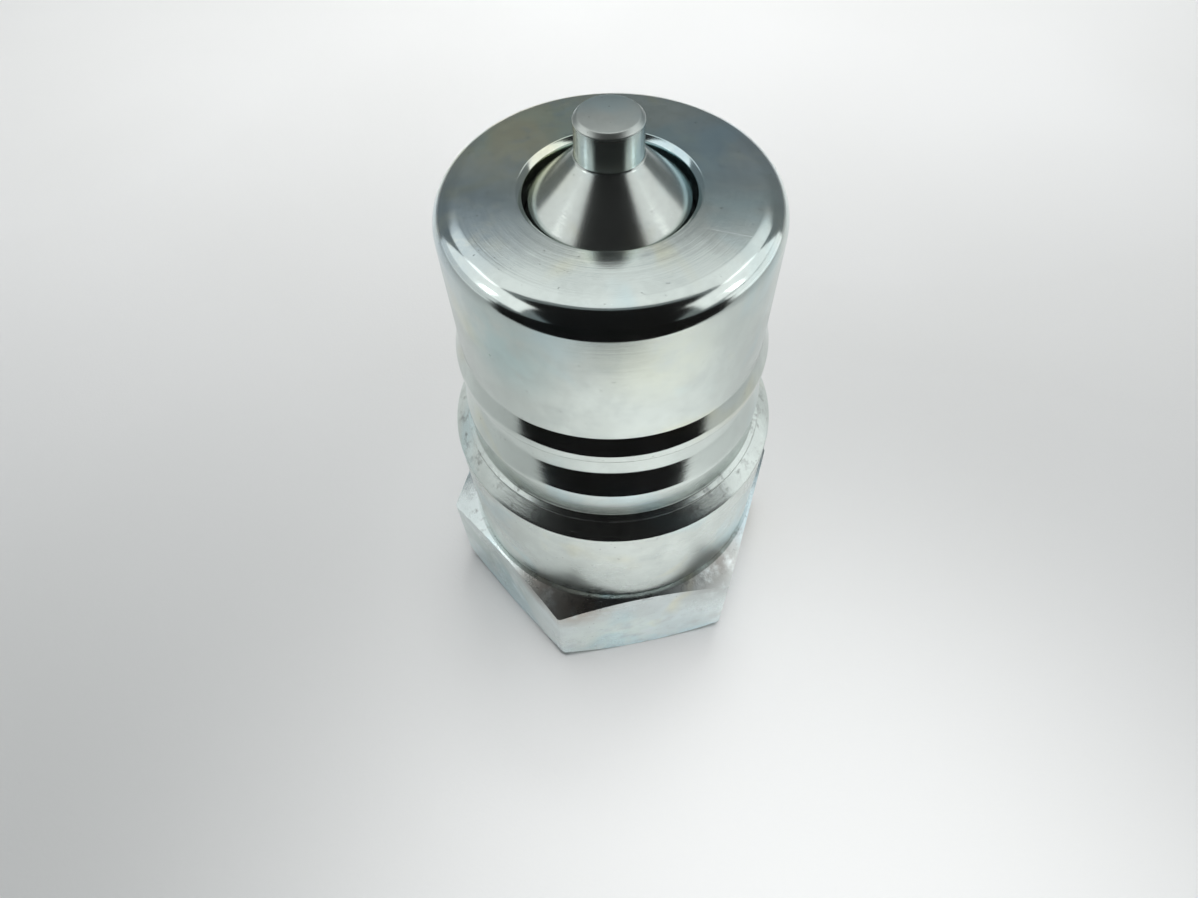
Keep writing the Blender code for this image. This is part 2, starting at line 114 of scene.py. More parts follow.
class NoseSettings(bpy.types.PropertyGroup):
    """Sizes of the nose body, measured from its flat face and from its joint with the hex end."""

    nose_radius: length("Nose radius", 15.75 * MM, "Radius of the straight nose")
    nose_length: length("Nose length", 15.7 * MM, "From the flat face to the ramp of the land")
    lip_rounding: length("Lip rounding", 2.4 * MM, "Rounding between the flat face and the nose")
    land_rise: length("Land rise", 0.7 * MM, "How far the land stands above the nose")
    land_ramp: length("Land ramp", 2.0 * MM, "Length of the ramp up to the land")
    land_length: length("Land length", 1.0 * MM, "Length of the land")
    undercut_length: length("Undercut", 0.9 * MM, "Length of the step from the land down to the groove")
    groove_depth: length("Groove depth", 0.9 * MM, "Depth of the locking groove under the land")
    groove_length: length("Groove length", 2.25 * MM, "Length of the locking groove")
    flank_length: length("Flank length", 3.15 * MM, "Length of the flank under the groove")
    body_rise: length("Body rise", 0.85 * MM, "How far the body stands above the nose")
    body_length: length("Body length", 3.8 * MM, "Length of the body above the collar")
    body_taper: length("Body taper", 0.1 * MM, "How much the body narrows to its foot")
    collar_face_fall: length("Collar face fall", 2.15 * MM, "How far the collar's face slopes down")
    face_step: length("Face step", 0.55 * MM, "Width of the shallow step at the foot of the body")
    collar_edge: length("Collar edge", 0.35 * MM, "Chamfer of the collar's edges")
    collar_taper: length("Collar taper", 0.2 * MM, "How much the collar narrows to the joint")
    bore_radius: length("Bore radius", 7.7 * MM, "Radius of the mouth above the valve seat")
    bore_length: length("Bore length", 2.5 * MM, "From the flat face to the valve seat")
    mouth_chamfer: length("Mouth chamfer", 0.45 * MM, "Chamfer round the mouth")
    chamber_radius: length("Chamber radius", 12.3 * MM, "Radius of the chamber round the valve")
    guide_bore: length("Guide bore", 13.2 * MM, "Radius of the bore that holds the guide")
    pilot_bore: length("Pilot bore", 14.5 * MM, "Radius of the bore that the O-ring seals in")
    thread_bore: length("Thread bore", 15.6 * MM, "Radius of the screwed joint")
    thread_length: length("Thread length", 6.9 * MM, "Length of the screwed joint")
    tone: colour("Plate", (0.71, 0.775, 0.74), "Colour of the zinc plate")


class HexSettings(bpy.types.PropertyGroup):
    """Sizes of the hex end, its port and its spigot."""

    across_flats: length("Across flats", HEX_HIGH.y - HEX_LOW.y, "Distance between two opposite flats")
    height: length("Height", 16.1 * MM, "Height of the hexagon")
    face_margin: length("Face margin", 0.25 * MM, "Width left between the round face and the flats")
    corner_rounding: length("Corner rounding", 0.35 * MM, "Rounding of the upright corners")
    port_radius: length("Port radius", 12.06 * MM, "Radius of the pipe thread's crests")
    port_entry: length("Port entry", 1.3 * MM, "Chamfer at the mouth of the port")
    port_floor: length("Port floor", 1.2 * MM, "Thickness above the port")
    flow_radius: length("Flow radius", 9.5 * MM, "Radius of the bore above the port")
    thread_pitch: length("Thread pitch", 1.814 * MM, "Pitch of the pipe thread")
    thread_depth: length("Thread depth", 1.16 * MM, "Depth of the pipe thread")
    tone: colour("Plate", (0.745, 0.812, 0.806), "Colour of the zinc plate on the hexagon")


class PoppetSettings(bpy.types.PropertyGroup):
    """Sizes of the poppet valve, measured from the flat face of the nose."""

    pin_radius: length("Pin radius", 2.95 * MM, "Radius of the pin")
    pin_chamfer: length("Pin chamfer", 0.35 * MM, "Chamfer at the end of the pin")
    rim_gap: length("Rim gap", 0.45 * MM, "Gap between the cone's rim and the mouth")
    rim_drop: length("Rim drop", 0.95 * MM, "How far the rim lies under the flat face")
    head_radius: length("Head radius", POPPET_HIGH.x, "Largest radius of the poppet")
    spigot_radius: length("Spigot radius", 5.6 * MM, "Radius of the step that carries the seal")
    stem_radius: length("Stem radius", 2.5 * MM, "Radius of the stem")
    tone: colour("Steel", (0.555, 0.595, 0.565), "Colour of the poppet")


class InsideSettings(bpy.types.PropertyGroup):
    """Sizes of the guide, the clip and the spring."""

    hub_radius: length("Hub radius", 4.4 * MM, "Radius of the guide's hub")
    plate_thickness: length("Plate thickness", 1.9 * MM, "Thickness of the guide's plate")
    hole_radius: length("Hole radius", 2.6 * MM, "Radius of the guide's flow holes")
    hole_count: IntProperty(name="Holes", description="Number of flow holes", default=6, min=1)
    stem_clearance: length("Stem clearance", 0.25 * MM, "Clearance of the stem in the hub")
    clip_width: length("Clip width", 2.0 * MM, "Width of the clip's wire")
    clip_opening: length("Clip opening", 7.0 * MM, "Opening of the clip")
    spring_wire: length("Spring wire", 1.7 * MM, "Diameter of the spring's wire")
    spring_turns: IntProperty(name="Turns", description="Number of turns of the spring", default=6, min=3)


class StageSettings(bpy.types.PropertyGroup):
    """Camera, floor and lights."""

    camera_distance: length("Camera distance", 69.9 * MM, "From the centre of the flat face to the camera")
    camera_azimuth: angle("Camera azimuth", -11.3, "Side that the camera stands on")
    camera_elevation: angle("Camera elevation", 37.59, "Height of the camera over the face")
    camera_heading: angle("Camera heading", 9.415, "Compass heading of the view")
    camera_tilt: angle("Camera tilt", 56.5, "How far the view points down")
    camera_roll: angle("Camera roll", -2.262, "Turn of the view about its own line")
    lens: FloatProperty(name="Lens", description="Focal length on a 36 mm frame", default=22.99, min=1)
    floor_tone: colour("Floor", (0.80, 0.80, 0.795), "Colour of the paper floor")


# ---------------------------------------------------------------------------------------------------- shapes


def full_turn(bm, steps):
    """Spins all of a flat outline once round the Z axis."""
    bmesh.ops.spin(
        bm,
        geom=bm.verts[:] + bm.edges[:],
        cent=(0, 0, 0),
        axis=(0, 0, 1),
        dvec=(0, 0, 0),
        angle=2 * math.pi,
        steps=steps,
        use_merge=True,
        use_duplicate=False,
    )


def turned_bmesh(outline, closed=True, steps=256):
    """Spins an outline of (radius, height, rounding) corners round the Z axis into one closed surface."""
    bm = bmesh.new()
    corners = [bm.verts.new((radius, 0, height)) for radius, height, _ in outline]
    for start, end in zip(corners, corners[1:]):
        bm.edges.new((start, end))
    if closed:
        bm.edges.new((corners[-1], corners[0]))
    for corner, (_, _, rounding) in zip(corners, outline):
        if rounding:
            bmesh.ops.bevel(
                bm,
                geom=[corner],
                offset=rounding,
                offset_type="OFFSET",
                segments=16 if rounding > MM else 4,
                profile=0.5,
                affect="VERTICES",
                material=-1,
            )
    full_turn(bm, steps)
    bmesh.ops.remove_doubles(bm, verts=bm.verts[:], dist=1e-7)
    bmesh.ops.recalc_face_normals(bm, faces=bm.faces[:])
    return bm


def object_from(name, bm):
    mesh = bpy.data.meshes.new(name)
    bm.to_mesh(mesh)
    bm.free()
    obj = bpy.data.objects.new(name, mesh)
    bpy.context.scene.collection.objects.link(obj)
    return obj


def boolean(obj, operation, tool):
    """Cuts or joins with a tool object, keeps the result as the object's mesh and removes the tool."""
    modifier = obj.modifiers.new("Tool", "BOOLEAN")
    modifier.operation = operation
    modifier.solver = "EXACT"
    modifier.object = tool
    graph = bpy.context.evaluated_depsgraph_get()
    mesh = bpy.data.meshes.new_from_object(obj.evaluated_get(graph))
    obj.modifiers.clear()
    obj.data = mesh
    bpy.data.objects.remove(tool)


def finish_piece(obj, body, node, material, sharp=35):
    """Smooth faces with even shading, one material, and the CAD node that the piece stands for."""
    obj.data.shade_smooth()
    obj.data.set_sharp_from_angle(angle=math.radians(sharp))
    shading = obj.modifiers.new("Even shading", "WEIGHTED_NORMAL")
    shading.keep_sharp = True
    obj.data.materials.clear()
    obj.data.materials.append(material)
    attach(obj, body)
    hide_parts(node)


# ------------------------------------------------------------------------------------------------- materials


class Finish:
    """A material's node tree, with short calls for the nodes that the finishes share."""

    def __init__(self, name):
        self.material = bpy.data.materials.new(name)
        self.material.use_nodes = True
        self.nodes = self.material.node_tree.nodes
        self.links = self.material.node_tree.links
        self.shader = self.nodes["Principled BSDF"]
        self.place = self.nodes.new("ShaderNodeTexCoord").outputs["Object"]

    def put(self, value, socket):
        if isinstance(value, bpy.types.NodeSocket):
            self.links.new(value, socket)
        elif value is not None:
            socket.default_value = value

    def math(self, operation, first, second=None, third=None, clamp=False):
        node = self.nodes.new("ShaderNodeMath")
        node.operation = operation
        node.use_clamp = clamp
        for value, socket in zip((first, second, third), node.inputs):
            self.put(value, socket)
        return node.outputs[0]

    def combine(self, x, y, z):
        node = self.nodes.new("ShaderNodeCombineXYZ")
        for value, socket in zip((x, y, z), node.inputs):
            self.put(value, socket)
        return node.outputs[0]

    def stretched(self, *pairs):
        """A place for a pattern, from three (value, scale) pairs."""
        return self.combine(*(self.math("MULTIPLY", v, k) for v, k in zip(pairs[::2], pairs[1::2])))

    def noise(self, place, scale, detail=2.0, roughness=0.5, distortion=0.0):
        node = self.nodes.new("ShaderNodeTexNoise")
        self.put(place, node.inputs["Vector"])
        node.inputs["Scale"].default_value = scale
        node.inputs["Detail"].default_value = detail
        node.inputs["Roughness"].default_value = roughness
        node.inputs["Distortion"].default_value = distortion
        return node.outputs["Fac"]

    def ramp(self, value, stops):
        node = self.nodes.new("ShaderNodeValToRGB")
        self.put(value, node.inputs[0])
        band = node.color_ramp
        band.interpolation = "EASE"
        while len(band.elements) < len(stops):
            band.elements.new(0.5)
        for element, (position, tone) in zip(band.elements, stops):
            element.position = position
            element.color = (*tone, 1.0) if isinstance(tone, tuple) else (tone, tone, tone, 1.0)
        return node.outputs[0]

    def mix(self, factor, first, second, blend="MIX"):
        node = self.nodes.new("ShaderNodeMix")
        node.data_type = "RGBA"
        node.blend_type = blend
        self.put(factor, node.inputs["Factor"])
        for value, socket in ((first, node.inputs[6]), (second, node.inputs[7])):
            self.put((*value, 1.0) if isinstance(value, tuple) else value, socket)
        return node.outputs[2]

    def bump(self, height, distance, normal=None):
        node = self.nodes.new("ShaderNodeBump")
        node.inputs["Strength"].default_value = 1.0
        node.inputs["Distance"].default_value = distance
        self.put(height, node.inputs["Height"])
        if normal:
            self.put(normal, node.inputs["Normal"])
        return node.outputs["Normal"]

    def turning(self):
        """(radius, height, angle) of a point about the piece's axis."""
        split = self.nodes.new("ShaderNodeSeparateXYZ")
        self.links.new(self.place, split.inputs[0])
        x, y, z = split.outputs
        squares = self.math("ADD", self.math("MULTIPLY", x, x), self.math("MULTIPLY", y, y))
        return self.math("SQRT", squares), z, self.math("ARCTAN2", y, x)

    def band(self, value, low, high, soft):
        """1 between two values and 0 outside them, with soft ends."""
        rise = self.step(value, low - soft, low + soft)
        return self.math("MULTIPLY", rise, self.step(value, high + soft, high - soft))

    def step(self, value, start, end):
        node = self.nodes.new("ShaderNodeMapRange")
        node.interpolation_type = "SMOOTHSTEP"
        self.put(value, node.inputs["Value"])
        node.inputs["From Min"].default_value = min(start, end)
        node.inputs["From Max"].default_value = max(start, end)
        node.inputs["To Min"].default_value = float(start > end)
        node.inputs["To Max"].default_value = float(start < end)
        return node.outputs["Result"]

    def near(self, centre, reach):
        """1 at a point of the piece, fading to 0 at this distance from it."""
        node = self.nodes.new("ShaderNodeVectorMath")
        node.operation = "DISTANCE"
        self.links.new(self.place, node.inputs[0])
        node.inputs[1].default_value = centre
        return self.step(node.outputs["Value"], reach, reach * 0.15)

    def along(self, direction, centre):
        """Distance of a point from a centre, measured along a direction."""
        offset = self.nodes.new("ShaderNodeVectorMath")
        offset.operation = "SUBTRACT"
        self.links.new(self.place, offset.inputs[0])
        offset.inputs[1].default_value = centre
        share = self.nodes.new("ShaderNodeVectorMath")
        share.operation = "DOT_PRODUCT"
        self.links.new(offset.outputs[0], share.inputs[0])
        share.inputs[1].default_value = direction
        return self.math("ABSOLUTE", share.outputs["Value"])

    def line(self, centre, half, width):
        """1 on a short fine line in a level face, fading out to its ends."""
        ends = self.step(self.along(half.normalized(), centre), half.length, half.length * 0.5)
        across = Vector((-half.y, half.x, 0)).normalized()
        sides = self.step(self.along(across, centre), width, width * 0.4)
        return self.math("MULTIPLY", ends, sides)

    def set(self, **values):
        names = {
            "colour": "Base Color",
            "rough": "Roughness",
            "metal": "Metallic",
            "normal": "Normal",
            "specular": "Specular IOR Level",
            "alpha": "Alpha",
        }
        for key, value in values.items():
            self.put(value, self.shader.inputs[names[key]])
        return self.material


def tinted(tone, red, green, blue):
    """A tone of the plate, warmer or cooler than the rest."""
    return tuple(min(1.0, channel * factor) for channel, factor in zip(tone, (red, green, blue)))


def plated_finish(
    name,
    tone,
    roughness,
    mark_depth,
    grain_depth,
    polished=(),
    stained=(),
    patches=(),
    scratched=(),
    metal=0.99,
):
    """Zinc plate over turned steel: lathe marks, faint blue and straw tints, stains, specks and scratches,
    with spots of painted reflection and shade.

    Polished bands are (low, high, roughness) heights. Stained bands are (low, high) heights that hold grime.
    Patches are (centre, reach, colour) spots of painted reflection and painted shade, some of them tinted,
    and scratches are (centre, half of the line), both with places in millimetres.
    """
    look = Finish(name)
    radius, height, turn = look.turning()
    tone = tuple(tone)

    fine_place = look.stretched(radius, 9000.0, height, 9000.0, turn, 0.6)
    marks = look.noise(fine_place, 1.0, detail=3.0, roughness=0.6)
    broad_place = look.stretched(radius, 1500.0, height, 1500.0, turn, 0.0)
    broad = look.noise(broad_place, 1.0, detail=2.0)

    tint = look.noise(look.place, 75.0, detail=3.0, roughness=0.5, distortion=0.5)
    cool, warm = tinted(tone, 0.90, 1.00, 1.06), tinted(tone, 1.07, 1.01, 0.88)
    plate = look.ramp(tint, [(0.34, cool), (0.48, tone), (0.60, tone), (0.72, warm)])
    stain = look.ramp(look.noise(look.place, 240.0, detail=5.0, roughness=0.7), [(0.38, 0.88), (0.60, 1.0)])
    specks = look.ramp(look.noise(look.place, 2600.0, detail=1.5), [(0.72, 1.0), (0.79, 0.45)])
    plate = look.mix(0.6, plate, stain, "MULTIPLY")
    plate = look.mix(0.75, plate, specks, "MULTIPLY")
    # Each patch multiplies the plate colour in a spot: painted reflection and painted shade, some with a
    # tint.
    for centre, reach, shade in patches:
        ragged_edge = look.noise(look.place, 320.0, detail=4.0, roughness=0.6)
        around = look.near(Vector(centre) * MM, reach * MM)
        reach_mask = look.math("MULTIPLY", around, look.step(ragged_edge, 0.25, 0.55))
        plate = look.mix(reach_mask, plate, shade, "MULTIPLY")
    coarse = 1.0
    for low, high in stained:
        grime = look.noise(look.place, 700.0, detail=5.0, roughness=0.7)
        stained_band = look.band(height, low, high, 0.0006)
        coarse = look.math("MULTIPLY_ADD", stained_band, 4.0, coarse)
        grime_mask = look.math("MULTIPLY", stained_band, look.step(grime, 0.50, 0.72))
        plate = look.mix(look.math("MULTIPLY", grime_mask, 0.75), plate, (0.22, 0.23, 0.22))

    scratch_place = look.stretched(turn, 7.0, height, 700.0, radius, 700.0)
    scratches = look.step(look.noise(scratch_place, 1.0, detail=4.0, roughness=0.75), 0.68, 0.74)
    for centre, half in scratched:
        line = look.line(Vector(centre) * MM, Vector(half) * MM, 0.03 * MM)
        plate = look.mix(look.math("MULTIPLY", line, 0.55), plate, (0.95, 0.97, 0.97))
        scratches = look.math("MAXIMUM", scratches, line)
    smudge = look.noise(look.place, 130.0, detail=4.0, roughness=0.6, distortion=0.4)
    rough = look.math("MULTIPLY_ADD", smudge, 0.14, roughness - 0.07)
    for low, high, smooth in polished:
        rough = look.math("MULTIPLY_ADD", look.band(height, low, high, 0.00012), smooth - roughness, rough)
    rough = look.math("MULTIPLY_ADD", scratches, 0.10, rough)
    rough = look.math("MULTIPLY_ADD", marks, 0.05, rough, clamp=True)
    rough = look.math("MAXIMUM", rough, 0.04)

    grain = look.math("MULTIPLY", look.noise(look.place, 4200.0, detail=2.0), coarse)
    relief = look.bump(marks, mark_depth)
    relief = look.bump(broad, mark_depth * 1.5, relief)
    relief = look.bump(grain, grain_depth, relief)
    relief = look.bump(scratches, mark_depth, relief)
    return look.set(colour=plate, rough=rough, metal=metal, normal=relief)


def steel_finish(name, tone, roughness, mark_depth):
    """Plain steel with tool marks round the axis and a few dull patches."""
    look = Finish(name)
    radius, height, turn = look.turning()
    tone = tuple(tone)
    marks_place = look.stretched(radius, 7000.0, height, 7000.0, turn, 1.0)
    marks = look.noise(marks_place, 1.0, detail=3.0, roughness=0.6)
    patches = look.noise(look.place, 180.0, detail=4.0, roughness=0.6)
    dull = tinted(tone, 0.84, 0.82, 0.78)
    plate = look.ramp(patches, [(0.36, dull), (0.56, tone)])
    rough = look.math("MULTIPLY_ADD", patches, 0.14, roughness - 0.07)
    rough = look.math("MULTIPLY_ADD", marks, 0.08, rough, clamp=True)
    return look.set(colour=plate, rough=rough, metal=1.0, normal=look.bump(marks, mark_depth))


def soft_finish(name, tone, roughness):
    """Moulded rubber or plastic: a little uneven in colour, with a fine moulded grain."""
    look = Finish(name)
    patches = look.noise(look.place, 260.0, detail=4.0, roughness=0.6)
    dull, bright = tinted(tone, 0.8, 0.8, 0.8), tinted(tone, 1.15, 1.15, 1.15)
    shade = look.ramp(patches, [(0.35, dull), (0.65, bright)])
    rough = look.math("MULTIPLY_ADD", patches, 0.2, roughness - 0.1)
    relief = look.bump(look.noise(look.place, 6000.0, detail=2.0), 0.00001)
    return look.set(colour=shade, rough=rough, metal=0.0, normal=relief)


# ------------------------------------------------------------------------------------------------- operators


class COUPLER_OT_nose_body(bpy.types.Operator):
    """Turn the nose body: flat face, lip, nose, land, locking groove, body and collar, and its bores"""

    bl_idname = "coupler.nose_body"
    bl_label = "Nose body"

    def execute(self, context):
        s = context.scene.coupler_nose
        face, joint = NOSE_HIGH.z, NOSE_LOW.z
        nose_end = face - s.nose_length
        land_top = nose_end - s.land_ramp
        land_bottom = land_top - s.land_length
        groove_top = land_bottom - s.undercut_length
        groove_bottom = groove_top - s.groove_length
        body_top = groove_bottom - s.flank_length
        body_foot = body_top - s.body_length
        collar_top = body_foot - s.collar_face_fall
        land = s.nose_radius + s.land_rise
        groove = land - s.groove_depth
        body = s.nose_radius + s.body_rise
        collar = NOSE_HIGH.x
        foot = body - s.body_taper
        collar_bottom = collar - s.collar_taper
        step = foot + s.face_step
        outside = [
            (s.bore_radius + s.mouth_chamfer, face, 0.05 * MM),
            (s.nose_radius, face, s.lip_rounding),
            (s.nose_radius, nose_end, 0.12 * MM),
            (land, land_top, 0.15 * MM),
            (land, land_bottom, 0.20 * MM),
            (groove, groove_top, 0.30 * MM),
            (groove, groove_bottom, 0.35 * MM),
            (body, body_top, 0.20 * MM),
            (foot, body_foot, 0.12 * MM),
            (step, body_foot - 0.22 * s.collar_face_fall, 0.05 * MM),
            (step + 0.05 * MM, body_foot - 0.29 * s.collar_face_fall, 0.04 * MM),
            (collar - s.collar_edge, collar_top + s.collar_edge, EDGE),
            (collar, collar_top, 0.08 * MM),
            (collar_bottom, joint + s.collar_edge, 0.15 * MM),
            (collar_bottom - s.collar_edge, joint, EDGE),
        ]
        thread_top = joint + s.thread_length
        inside = [
            (s.thread_bore + s.collar_edge, joint, EDGE),
            (s.thread_bore, joint + s.collar_edge, EDGE),
            (s.thread_bore, thread_top, EDGE),
            (s.pilot_bore, thread_top + 0.6 * MM, EDGE),
            (s.pilot_bore, CLIP_LOW.z - 0.6 * MM, EDGE),
            (s.guide_bore, CLIP_LOW.z - 0.6 * MM, EDGE),
            (s.guide_bore, CLIP_LOW.z - 0.3 * MM, 0),
            (CLIP_HIGH.y + 0.3 * MM, CLIP_LOW.z - 0.3 * MM, 0),
            (CLIP_HIGH.y + 0.3 * MM, CLIP_HIGH.z + 0.15 * MM, 0),
            (s.guide_bore, CLIP_HIGH.z + 0.15 * MM, 0),
            (s.guide_bore, SPRING_LOW.z, EDGE),
            (s.chamber_radius, SPRING_LOW.z, EDGE),
            (s.chamber_radius, face - s.bore_length - (s.chamber_radius - s.bore_radius), 0.3 * MM),
            (s.bore_radius, face - s.bore_length, EDGE),
            (s.bore_radius, face - s.mouth_chamfer, 0.05 * MM),
        ]
        shell = object_from("nose_shell", turned_bmesh(outside + inside))
        material = plated_finish(
            "zinc_plated_nose",
            s.tone,
            roughness=0.20,
            mark_depth=0.0000026,
            grain_depth=0.0000010,
            polished=[
                (body_top - 0.3 * MM, nose_end + 0.1 * MM, 0.08),
                (face - s.lip_rounding, face - 0.12 * MM, 0.09),
                (face - 0.10 * MM, face + MM, 0.125),
                (joint, collar_top - 0.2 * MM, 0.26),
            ],
            scratched=[((8.57, -8.0, 62.5), (2.0, -1.07, 0))],
            stained=[(joint, joint + 1.6 * MM), (collar_top + 0.3 * MM, body_foot + 0.3 * MM)],
            # Patches: painted light and painted shade with some tints, brighter at the front of the nose and
            # collar and darker on their left and right sides, warmer and brighter at the back of the face
            # and cooler and darker on its sides.
            patches=[
                ((-7.0, 11.5, 62.5), 12, (1.22, 1.10, 0.88)),
                ((-13.5, -1.0, 62.5), 10, (0.80, 0.86, 0.95)),
                ((12.5, 3.0, 62.5), 10, (0.86, 0.90, 0.98)),
                ((1.0, -16.0, 57.0), 7, (1.04, 1.02, 0.95)),
                ((-12.0, -11.0, 56.0), 7, (0.86, 0.97, 1.0)),
                ((-3.2, -15.6, 50.0), 14, (1.14, 1.13, 1.12)),
                ((-3.5, -17.8, 30.0), 14, (1.15, 1.13, 1.12)),
                ((-15.7, -1.0, 50.0), 12, (0.80, 0.80, 0.80)),
                ((14.1, -7.0, 50.0), 12, (0.84, 0.84, 0.84)),
                ((-17.0, -6.5, 27.0), 10, (0.78, 0.77, 0.76)),
            ],
        )
        finish_piece(shell, "shell", "nose_body", material)
        return {"FINISHED"}


class COUPLER_OT_hex_end(bpy.types.Operator):
    """Mill the hex end: chamfered hexagon, threaded pipe port, flow bore and spigot"""

    bl_idname = "coupler.hex_end"
    bl_label = "Hex end"

    def execute(self, context):
        s = context.scene.coupler_hex
        bar = self.hexagonal_bar(s)
        boolean(bar, "INTERSECT", self.chamfers(s))
        boolean(bar, "UNION", self.spigot(s))
        boolean(bar, "DIFFERENCE", self.port(s))
        boolean(bar, "DIFFERENCE", self.pipe_thread(s))
        half = s.across_flats / 2 / MM
        material = plated_finish(
            "zinc_plated_hex",
            s.tone,
            roughness=0.26,
            mark_depth=0.0000015,
            grain_depth=0.0000050,
            stained=[(s.height - 0.8 * MM, s.height + 0.2 * MM)],
            # Patches: painted reflection and painted shade, brighter low on the front, darker on the left
            # flat and dark brown on the top chamfer at the front.
            patches=[
                ((4.0, -half, 2.0), 13, (1.16, 1.20, 1.22)),
                ((-4.0, -half, 6.0), 9, (1.12, 1.13, 1.08)),
                ((-half, -8.0, 9.0), 12, (0.66, 0.72, 0.70)),
                ((-8.0, -half, 15.5), 6, (0.74, 0.64, 0.58)),
                ((-12.5, -14.5, 16.0), 5.5, (0.42, 0.37, 0.34)),
                ((9.0, -15.0, 16.0), 8, (0.40, 0.36, 0.34)),
            ],
        )
        finish_piece(bar, "shell", "hex_adapter", material, sharp=20)
        return {"FINISHED"}

    def hexagonal_bar(self, s):
        bm = bmesh.new()
        corner = s.across_flats / math.sqrt(3)
        upright = Matrix.Translation((0, 0, s.height / 2)) @ Matrix.Rotation(math.radians(30), 4, "Z")
        bmesh.ops.create_cone(
            bm, cap_ends=True, segments=6, radius1=corner, radius2=corner, depth=s.height, matrix=upright
        )
        corners = [e for e in bm.edges if abs(e.verts[0].co.z - e.verts[1].co.z) > s.height / 2]
        bmesh.ops.bevel(
            bm,
            geom=corners,
            offset=s.corner_rounding,
            offset_type="OFFSET",
            segments=4,
            profile=0.5,
            affect="EDGES",
            material=-1,
        )
        return object_from("hex_end", bm)

    def chamfers(self, s):
        face_radius = s.across_flats / 2 - s.face_margin
        reach = s.across_flats / math.sqrt(3) - face_radius + 1 * MM
        outline = [
            (0, s.height + MM, 0),
            (face_radius, s.height + MM, 0),
            (face_radius, s.height, 0),
            (face_radius + reach, s.height - reach * math.tan(math.radians(30)), 0),
            (face_radius + reach, reach * math.tan(math.radians(36)), 0),
            (face_radius, 0, 0),
            (face_radius, -MM, 0),
            (0, -MM, 0),
        ]
        return object_from("chamfer_tool", turned_bmesh(outline, closed=False))

    def spigot(self, s):
        nose = bpy.context.scene.coupler_nose
        gap = NOSE_LOW.z - s.height
        thread = nose.thread_bore - gap
        pilot = nose.pilot_bore - gap
        groove = -SEAL_LOW.x - (SEAL_HIGH.z - SEAL_LOW.z) - 0.25 * MM
        thread_top = NOSE_LOW.z + nose.thread_length - gap
        inside_hex = s.height - s.port_floor / 2
        outline = [
            (0, HEX_HIGH.z, 0),
            (pilot - gap, HEX_HIGH.z, 0),
            (pilot, HEX_HIGH.z - gap, 0),
            (pilot, SEAL_HIGH.z + gap, 0),
            (groove, SEAL_HIGH.z + gap, 0),
            (groove, BACKUP_LOW.z - gap, 0),
            (pilot, BACKUP_LOW.z - gap, 0),
            (pilot, thread_top, 0),
            (thread, thread_top - 0.6 * MM, 0),
            (thread, NOSE_LOW.z + 1.2 * MM, 0),
            (thread - 0.6 * MM, NOSE_LOW.z + 0.6 * MM, 0),
            (thread - 0.6 * MM, inside_hex, 0),
            (0, inside_hex, 0),
        ]
        return object_from("spigot_tool", turned_bmesh(outline, closed=False, steps=128))

    def port(self, s):
        top = s.height - s.port_floor
        outline = [
            (0, HEX_HIGH.z + MM, 0),
            (s.flow_radius, HEX_HIGH.z + MM, 0),
            (s.flow_radius, top, 0),
            (s.port_radius, top, 0),
            (s.port_radius, s.port_entry, 0),
            (s.port_radius + s.port_entry + MM, -MM, 0),
            (0, -MM, 0),
        ]
        return object_from("port_tool", turned_bmesh(outline, closed=False, steps=192))

    def pipe_thread(self, s):
        """A helical cutter with a rounded triangular tooth, from the port's mouth nearly to its floor."""
        bm = bmesh.new()
        inner = s.port_radius - 0.3 * MM
        outer = s.port_radius + s.thread_depth
        half = s.thread_pitch * 0.46
        tip = s.thread_pitch * 0.07
        crest = outer - 0.1 * MM
        tooth = [(inner, -half), (crest, -tip * 1.6), (outer, 0), (crest, tip * 1.6), (inner, half)]
        start = -s.thread_pitch
        corners = [bm.verts.new((radius, 0, start + height)) for radius, height in tooth]
        face = bmesh.ops.contextual_create(bm, geom=corners)["faces"][0]
        per_turn = 96
        turns = (s.height - s.port_floor - 1.5 * MM - start) / s.thread_pitch
        steps = int(per_turn * turns)
        bmesh.ops.spin(
            bm,
            geom=[face, *face.edges, *face.verts],
            cent=(0, 0, 0),
            axis=(0, 0, 1),
            dvec=(0, 0, s.thread_pitch / per_turn),
            angle=2 * math.pi * steps / per_turn,
            steps=steps,
            use_merge=False,
            use_duplicate=False,
        )
        bmesh.ops.recalc_face_normals(bm, faces=bm.faces[:])
        return object_from("thread_tool", bm)


